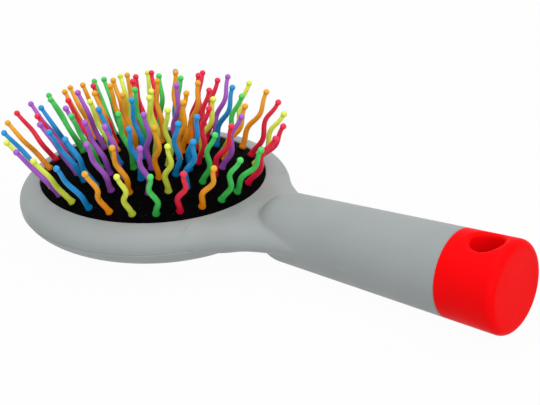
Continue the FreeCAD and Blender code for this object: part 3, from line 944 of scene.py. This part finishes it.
class HAIRBRUSH_OT_make_end_cap(bpy.types.Operator):
    """Model the end cap with its hanging hole and plug"""

    bl_idname = "hairbrush.make_end_cap"
    bl_label = "Make end cap"

    def execute(self, context):
        form = context.scene.hairbrush_form
        margin = 3 * form.mesh_step
        step = form.mesh_step * 0.7
        low = (CAP_SEAM_X - 2 * CUT_SPARE - margin, -HANDLE_END_RADIUS - margin, -margin)
        high = (CAD_HIGH.x + margin, HANDLE_END_RADIUS + margin, 2 * HANDLE_END_RADIUS + margin)
        cap = skin("cap", cap_distance, low, high, step)
        cap.name = "red_end_cap"
        groove = form.groove
        radius = handle_radius(CAP_SEAM_X)
        start = CAP_SEAM_X - 4 * CUT_SPARE
        trim = [(start, radius + CUT_SPARE), (CAP_SEAM_X + 2 * groove, radius + CUT_SPARE),
                (CAP_SEAM_X + 2 * groove, radius + groove), (CAP_SEAM_X, radius - groove)]
        carve(cap, handle_lathe("seam_trim", trim))
        plug_start = CAP_SEAM_X - PLUG_LENGTH
        plug_end = CAP_SEAM_X + CUT_SPARE
        inset = HANDLE_WALL + PLUG_CLEARANCE
        plug_profile = [(plug_start, handle_radius(plug_start) - inset - groove),
                        (plug_start + 2 * groove, handle_radius(plug_start) - inset),
                        (plug_end, handle_radius(plug_end) - inset)]
        carve(cap, handle_lathe("plug", plug_profile), "UNION")
        finish = context.scene.hairbrush_finish
        shade(cap, moulded_plastic("cap_plastic", finish.cap_red, 0.44, 0.03))
        stand_for(cap, "brush_body", "cap_red", "end_cap")
        return {"FINISHED"}


# Mirror and the pieces inside the head

class HAIRBRUSH_OT_make_mirror(bpy.types.Operator):
    """Model the oval mirror plate with its ground edge"""

    bl_idname = "hairbrush.make_mirror"
    bl_label = "Make mirror"

    def execute(self, context):
        form = context.scene.hairbrush_form
        length, width, top = GLASS_HIGH.x, GLASS_HIGH.y, GLASS_HIGH.z
        bevel = form.mirror_bevel
        sections = [(length - bevel, width - bevel, GLASS_LOW.z),
                    (length, width, GLASS_LOW.z + form.mirror_bevel_drop), (length, width, top)]
        glass = loft("silver_mirror", oval_loops(sections))
        shade(glass, silvered_glass(context.scene.hairbrush_finish.mirror_silver), math.radians(5))
        stand_for(glass, "brush_body", "mirror_silver", "mirror_glass")
        return {"FINISHED"}


class HAIRBRUSH_OT_finish_inner_parts(bpy.types.Operator):
    """Give the clamp ring and the foam tape inside the head their finish"""

    bl_idname = "hairbrush.finish_inner_parts"
    bl_label = "Finish inner parts"

    def execute(self, context):
        finish = context.scene.hairbrush_finish
        finishes = {"clamp_ring": moulded_plastic("ring_plastic", finish.ring_black, 0.5, 0.3),
                    "mirror_adhesive": foam_tape(finish.tape_white)}
        for node, material in finishes.items():
            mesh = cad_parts[node].data
            mesh.materials.clear()
            mesh.materials.append(material)
        return {"FINISHED"}


# Bristles

BRISTLE_SIZES = ("Bristle Length", "Shaft Radius", "Flare Radius", "Flare Height", "Neck Radius",
                 "Ball Radius", "Shank Radius", "Bulb Radius", "Bulb Depth", "Foot Height", "Wave Height")
BULB_SHARE = 0.14
BALL_SHARE = 0.24
WELD = 1e-6
# The highest value of sin * (1 - cos), which the wave follows
WAVE_PEAK = 0.75 * math.sqrt(3)


def bristle_tree():
    """Stands a waved, ball-tipped bristle on every root, along its lean and wave attributes."""
    inputs = {name: "NodeSocketFloat" for name in BRISTLE_SIZES}
    inputs.update({"Bristle Rings": "NodeSocketInt", "Bristle Sides": "NodeSocketInt",
                   "Material": "NodeSocketMaterial"})
    tree, given, result = geometry_tree("Bristle field", inputs)
    size = {name: Field(tree, given.outputs[name]) for name in BRISTLE_SIZES}
    line = add_node(tree, "GeometryNodeCurvePrimitiveLine")
    points = add_node(tree, "GeometryNodeResampleCurve",
                      {"Curve": line.outputs[0], "Count": given.outputs["Bristle Rings"]})
    share = Field(tree, add_node(tree, "GeometryNodeSplineParameter").outputs["Factor"])

    # Heights: round the bulb, up the shaft, round the ball
    ball_start = (size["Neck Radius"] / size["Ball Radius"]).math("ARCSINE")
    bulb_end = (size["Shank Radius"] / size["Bulb Radius"]).math("ARCSINE") * -1 + math.pi
    bulb_turn = share.ramp(0.0, BULB_SHARE, 0.0, bulb_end)
    ball_turn = share.ramp(1 - BALL_SHARE, 1.0, ball_start, math.pi)
    shaft_low = size["Bulb Depth"] * -1 - size["Bulb Radius"] * bulb_end.math("COSINE")
    shaft_high = size["Bristle Length"] - size["Ball Radius"] * ball_start.math("COSINE")
    bulb_z = size["Bulb Depth"] * -1 - size["Bulb Radius"] * bulb_turn.math("COSINE")
    shaft_rise = share.ramp(BULB_SHARE, 1 - BALL_SHARE, 0.0, shaft_high - shaft_low)
    ball_rise = size["Ball Radius"] * (ball_start.math("COSINE") - ball_turn.math("COSINE"))
    height = bulb_z + shaft_rise + ball_rise

    # Radii of the same three stretches
    up = height / size["Bristle Length"]
    flare = (height - size["Foot Height"]) / size["Flare Height"]
    flare = flare.ramp(0.0, 1.0, 1.0, 0.0)
    taper = up.math("MAXIMUM", 0.0) ** 2
    shaft = size["Shaft Radius"] + (size["Neck Radius"] - size["Shaft Radius"]) * taper
    shaft = shaft + (size["Flare Radius"] - size["Shaft Radius"]) * flare * flare
    foot = height.ramp(size["Foot Height"] * 0.4, size["Foot Height"])
    shaft = size["Shank Radius"] + (shaft - size["Shank Radius"]) * foot
    in_bulb = share.math("LESS_THAN", BULB_SHARE)
    in_ball = share.math("GREATER_THAN", 1 - BALL_SHARE)
    bulb = size["Bulb Radius"] * bulb_turn.math("SINE")
    ball = size["Ball Radius"] * ball_turn.math("SINE")
    radius = in_bulb * bulb + in_ball * ball + (in_bulb + in_ball).math("LESS_THAN", 0.5) * shaft

    # One swing each way, straight at both ends
    turn = up.ramp(0.0, 1.0) * (2 * math.pi)
    swing = turn.math("SINE") * (turn.math("COSINE") * -1 + 1)
    wave = size["Wave Height"] * swing / WAVE_PEAK
    centre = add_node(tree, "ShaderNodeCombineXYZ", {"X": wave, "Z": height})

    # Height and girth are kept while the line is still straight and its shares even
    marked = add_node(tree, "GeometryNodeStoreNamedAttribute",
                      {"Geometry": points.outputs[0], "Name": "height", "Value": up}, domain="POINT")
    kept = add_node(tree, "GeometryNodeStoreNamedAttribute",
                    {"Geometry": marked.outputs[0], "Name": "girth", "Value": radius}, domain="POINT")
    curve = add_node(tree, "GeometryNodeSetPosition",
                     {"Geometry": kept.outputs[0], "Position": centre.outputs[0]})
    circle = add_node(tree, "GeometryNodeCurvePrimitiveCircle",
                      {"Resolution": given.outputs["Bristle Sides"], "Radius": 1.0})
    girth = add_node(tree, "GeometryNodeInputNamedAttribute", {"Name": "girth"})
    tube = add_node(tree, "GeometryNodeCurveToMesh",
                    {"Curve": curve.outputs[0], "Profile Curve": circle.outputs[0],
                     "Scale": girth.outputs[0]})
    closed = add_node(tree, "GeometryNodeMergeByDistance", {"Geometry": tube.outputs[0], "Distance": WELD})

    axes = [add_node(tree, "GeometryNodeInputNamedAttribute", {"Name": name}, data_type="FLOAT_VECTOR")
            for name in ("lean", "wave")]
    turn = add_node(tree, "FunctionNodeAxesToRotation",
                    {0: axes[0].outputs[0], 1: axes[1].outputs[0]}, primary_axis="Z", secondary_axis="X")
    standing = add_node(tree, "GeometryNodeInstanceOnPoints",
                        {"Points": given.outputs["Geometry"], "Instance": closed.outputs[0],
                         "Rotation": turn.outputs[0]})
    real = add_node(tree, "GeometryNodeRealizeInstances", {"Geometry": standing.outputs[0]})
    finished = add_node(tree, "GeometryNodeSetMaterial",
                        {"Geometry": real.outputs[0], "Material": given.outputs["Material"]})
    plug(tree, result.inputs[0], finished.outputs[0])
    return tree


def root_points(name, roots):
    """A mesh of bare points, one at each root, that carry its lean and wave."""
    piece = new_piece(name, [root[0] for root in roots], [])
    for number, label in ((1, "lean"), (2, "wave")):
        attribute = piece.data.attributes.new(label, "FLOAT_VECTOR", "POINT")
        attribute.data.foreach_set("vector", [value for root in roots for value in root[number]])
    return piece


class HAIRBRUSH_OT_make_bristles(bpy.types.Operator):
    """Grow the waved bristles, one piece for each ring and colour"""

    bl_idname = "hairbrush.make_bristles"
    bl_label = "Make bristles"

    def execute(self, context):
        form = context.scene.hairbrush_form
        finish = context.scene.hairbrush_finish
        tree = bristle_tree()
        sizes = {name: getattr(form, name.lower().replace(" ", "_"))
                 for name in (*BRISTLE_SIZES, "Bristle Rings", "Bristle Sides")}
        plastics = {name: bristle_plastic(name, getattr(finish, name)) for name in COLOURS.values()}
        groups = {}
        for group, colour, root in bristle_roots():
            groups.setdefault((group, colour), []).append(root)
        for (group, colour), roots in groups.items():
            piece = root_points(f"{group}_bristles_{colour}", roots)
            run_tree(piece, tree, {**sizes, "Material": plastics[colour]})
            face_outwards(piece)
            shade(piece, plastics[colour], math.radians(60))
            stand_for(piece, f"bristles_{group}", f"bristle_{colour}", f"bristles_{group}_{colour}")
        return {"FINISHED"}


# Stage, in metres

FLOOR_REACH = 3.0
FLOOR_Z_BELOW = -0.3 * MM
FLOOR_SHADE = 0.6
TOP_LAMP_PLACE = (0.08, 0.0, 1.1)
SIDE_LAMP_PLACE = (0.95, -0.45, 0.5)
LAMP_SIZE = 0.9
CAMERA_CLIP_START = 0.01


def seen_or_mirrored(tree):
    """One for rays that show a background: from the camera, in gloss and through glass."""
    path = add_node(tree, "ShaderNodeLightPath")
    seen = Field(tree, path.outputs["Is Camera Ray"])
    for name in ("Is Glossy Ray", "Is Transmission Ray"):
        seen = seen.math("MAXIMUM", path.outputs[name])
    return seen


def floor_material(floor_white):
    """A pale floor, lifted to white where it is seen, and clear from below."""
    material = bpy.data.materials.new("studio_floor")
    material.use_nodes = True
    tree = material.node_tree
    tree.nodes.clear()
    matt = add_node(tree, "ShaderNodeBsdfDiffuse", {"Color": (FLOOR_SHADE, FLOOR_SHADE, FLOOR_SHADE, 1)})
    white = add_node(tree, "ShaderNodeEmission", {"Color": (1, 1, 1, 1), "Strength": 1.0})
    clear = add_node(tree, "ShaderNodeBsdfTransparent")
    lift = seen_or_mirrored(tree) * floor_white
    top = add_node(tree, "ShaderNodeMixShader", {0: lift, 1: matt.outputs[0], 2: white.outputs[0]})
    back = add_node(tree, "ShaderNodeNewGeometry").outputs["Backfacing"]
    both = add_node(tree, "ShaderNodeMixShader", {0: back, 1: top.outputs[0], 2: clear.outputs[0]})
    output = add_node(tree, "ShaderNodeOutputMaterial")
    plug(tree, output.inputs["Surface"], both.outputs[0])
    return material


def studio_world(ambient):
    """Even white light, and plain white where the background is seen."""
    world = bpy.data.worlds.new("studio")
    world.use_nodes = True
    tree = world.node_tree
    background = tree.nodes["Background"]
    background.inputs["Color"].default_value = (1, 1, 1, 1)
    plug(tree, background.inputs["Strength"], seen_or_mirrored(tree).ramp(0.0, 1.0, ambient, 1.0))
    return world


def soft_lamp(name, place, aim, size, power):
    """A square soft lamp that shines at a point."""
    light = bpy.data.lights.new(name, "AREA")
    light.size = size
    light.energy = power
    lamp = bpy.data.objects.new(name, light)
    bpy.context.scene.collection.objects.link(lamp)
    lamp.location = place
    lamp.rotation_mode = "QUATERNION"
    lamp.rotation_quaternion = (Vector(aim) - Vector(place)).to_track_quat("-Z", "Y")
    return lamp


def camera_matrix(stage):
    """The camera's place: turned and raised about its target, then rolled."""
    target = Vector(stage.target)
    back = Vector((math.sin(stage.azimuth) * math.cos(stage.elevation),
                   -math.cos(stage.azimuth) * math.cos(stage.elevation), math.sin(stage.elevation)))
    right = Vector((0, 0, 1)).cross(back).normalized()
    level = Matrix((right, back.cross(right), back)).transposed().to_4x4()
    return Matrix.Translation(target + back * stage.distance) @ level @ Matrix.Rotation(stage.roll, 4, "Z")


class HAIRBRUSH_OT_make_stage(bpy.types.Operator):
    """Set up the pale floor, the soft studio light and the camera"""

    bl_idname = "hairbrush.make_stage"
    bl_label = "Make stage"

    def execute(self, context):
        scene = context.scene
        stage = scene.hairbrush_stage
        scene.view_settings.view_transform = "Standard"
        sides = ((-1, -1), (1, -1), (1, 1), (-1, 1))
        corners = [(FLOOR_REACH * x, FLOOR_REACH * y, FLOOR_Z_BELOW) for x, y in sides]
        floor = new_piece("studio_floor", corners, [(0, 1, 2, 3)])
        floor.data.materials.append(floor_material(stage.floor_white))
        scene.world = studio_world(stage.ambient)
        middle = ((CAD_LOW.x + CAD_HIGH.x) / 2, 0, PAD_EDGE_Z)
        soft_lamp("top_light", TOP_LAMP_PLACE, middle, LAMP_SIZE, stage.top_power)
        soft_lamp("side_light", SIDE_LAMP_PLACE, middle, LAMP_SIZE, stage.side_power)
        camera = bpy.data.objects.new("camera", bpy.data.cameras.new("camera"))
        scene.collection.objects.link(camera)
        camera.data.lens = stage.lens
        camera.data.clip_start = CAMERA_CLIP_START
        camera.matrix_world = camera_matrix(stage)
        scene.camera = camera
        return {"FINISHED"}


class HAIRBRUSH_PT_panel(bpy.types.Panel):
    """Sizes, colours and steps of the hairbrush"""

    bl_label = "Hairbrush"
    bl_idname = "HAIRBRUSH_PT_panel"
    bl_space_type = "VIEW_3D"
    bl_region_type = "UI"
    bl_category = "Hairbrush"

    def draw(self, context):
        for operator in OPERATORS:
            self.layout.operator(operator.bl_idname)
        for settings in SETTINGS:
            box = self.layout.box()
            group = getattr(context.scene, settings)
            for name in group.__annotations__:
                box.prop(group, name)


SETTINGS = {"hairbrush_form": HairbrushForm, "hairbrush_finish": HairbrushFinish,
            "hairbrush_stage": HairbrushStage}
OPERATORS = (HAIRBRUSH_OT_make_cushion, HAIRBRUSH_OT_make_body_shell, HAIRBRUSH_OT_make_back_cover,
             HAIRBRUSH_OT_make_end_cap, HAIRBRUSH_OT_make_mirror, HAIRBRUSH_OT_finish_inner_parts,
             HAIRBRUSH_OT_make_bristles, HAIRBRUSH_OT_make_stage)


def register():
    for cls in (*SETTINGS.values(), *OPERATORS, HAIRBRUSH_PT_panel):
        bpy.utils.register_class(cls)
    for name, cls in SETTINGS.items():
        setattr(bpy.types.Scene, name, PointerProperty(type=cls))


def unregister():
    for name in SETTINGS:
        delattr(bpy.types.Scene, name)
    for cls in reversed((*SETTINGS.values(), *OPERATORS, HAIRBRUSH_PT_panel)):
        bpy.utils.unregister_class(cls)


def main():
    register()
    bpy.ops.hairbrush.make_cushion()
    bpy.ops.hairbrush.make_body_shell()
    bpy.ops.hairbrush.make_back_cover()
    bpy.ops.hairbrush.make_end_cap()
    bpy.ops.hairbrush.make_mirror()
    bpy.ops.hairbrush.finish_inner_parts()
    bpy.ops.hairbrush.make_bristles()
    bpy.ops.hairbrush.make_stage()


if __name__ == "__main__":
    main()
